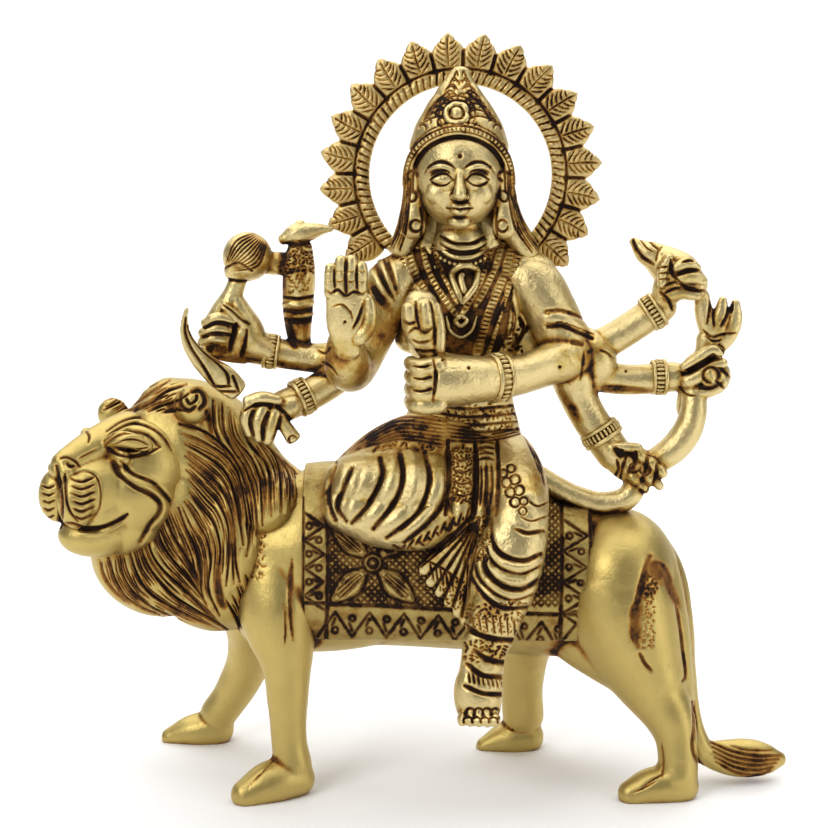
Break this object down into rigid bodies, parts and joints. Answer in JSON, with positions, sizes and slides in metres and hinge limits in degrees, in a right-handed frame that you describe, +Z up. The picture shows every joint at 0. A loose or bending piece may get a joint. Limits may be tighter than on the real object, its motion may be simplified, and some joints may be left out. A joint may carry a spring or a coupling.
{
  "type": "durga figure",
  "caption": "Cast brass figure of a many-armed goddess seated on a walking lion, with a leafed halo ring behind her head; it stands free on the lion's paws.",
  "frame": {"origin": "on the surface it stands on, under the middle of the whole figure's box", "axes": "+Z up; the goddess faces -Y, towards the viewer; the lion walks towards -X, so +X points to its tail"},
  "size_m": [0.2006, 0.065, 0.1996],
  "materials": {
    "brass_satin": "hand-finished satin brass, brown-black patina left in the grooves",
    "brass_polished": "pale polished brass on the high places, darker golden brass and patina in the carving",
    "brass_golden": "warmer golden brass with dark lines between the leaves"
  },
  "bodies": {
    "root": {"lion": "brass_satin", "goddess": "brass_polished", "halo": "brass_golden"}
  },
  "joints": []
}
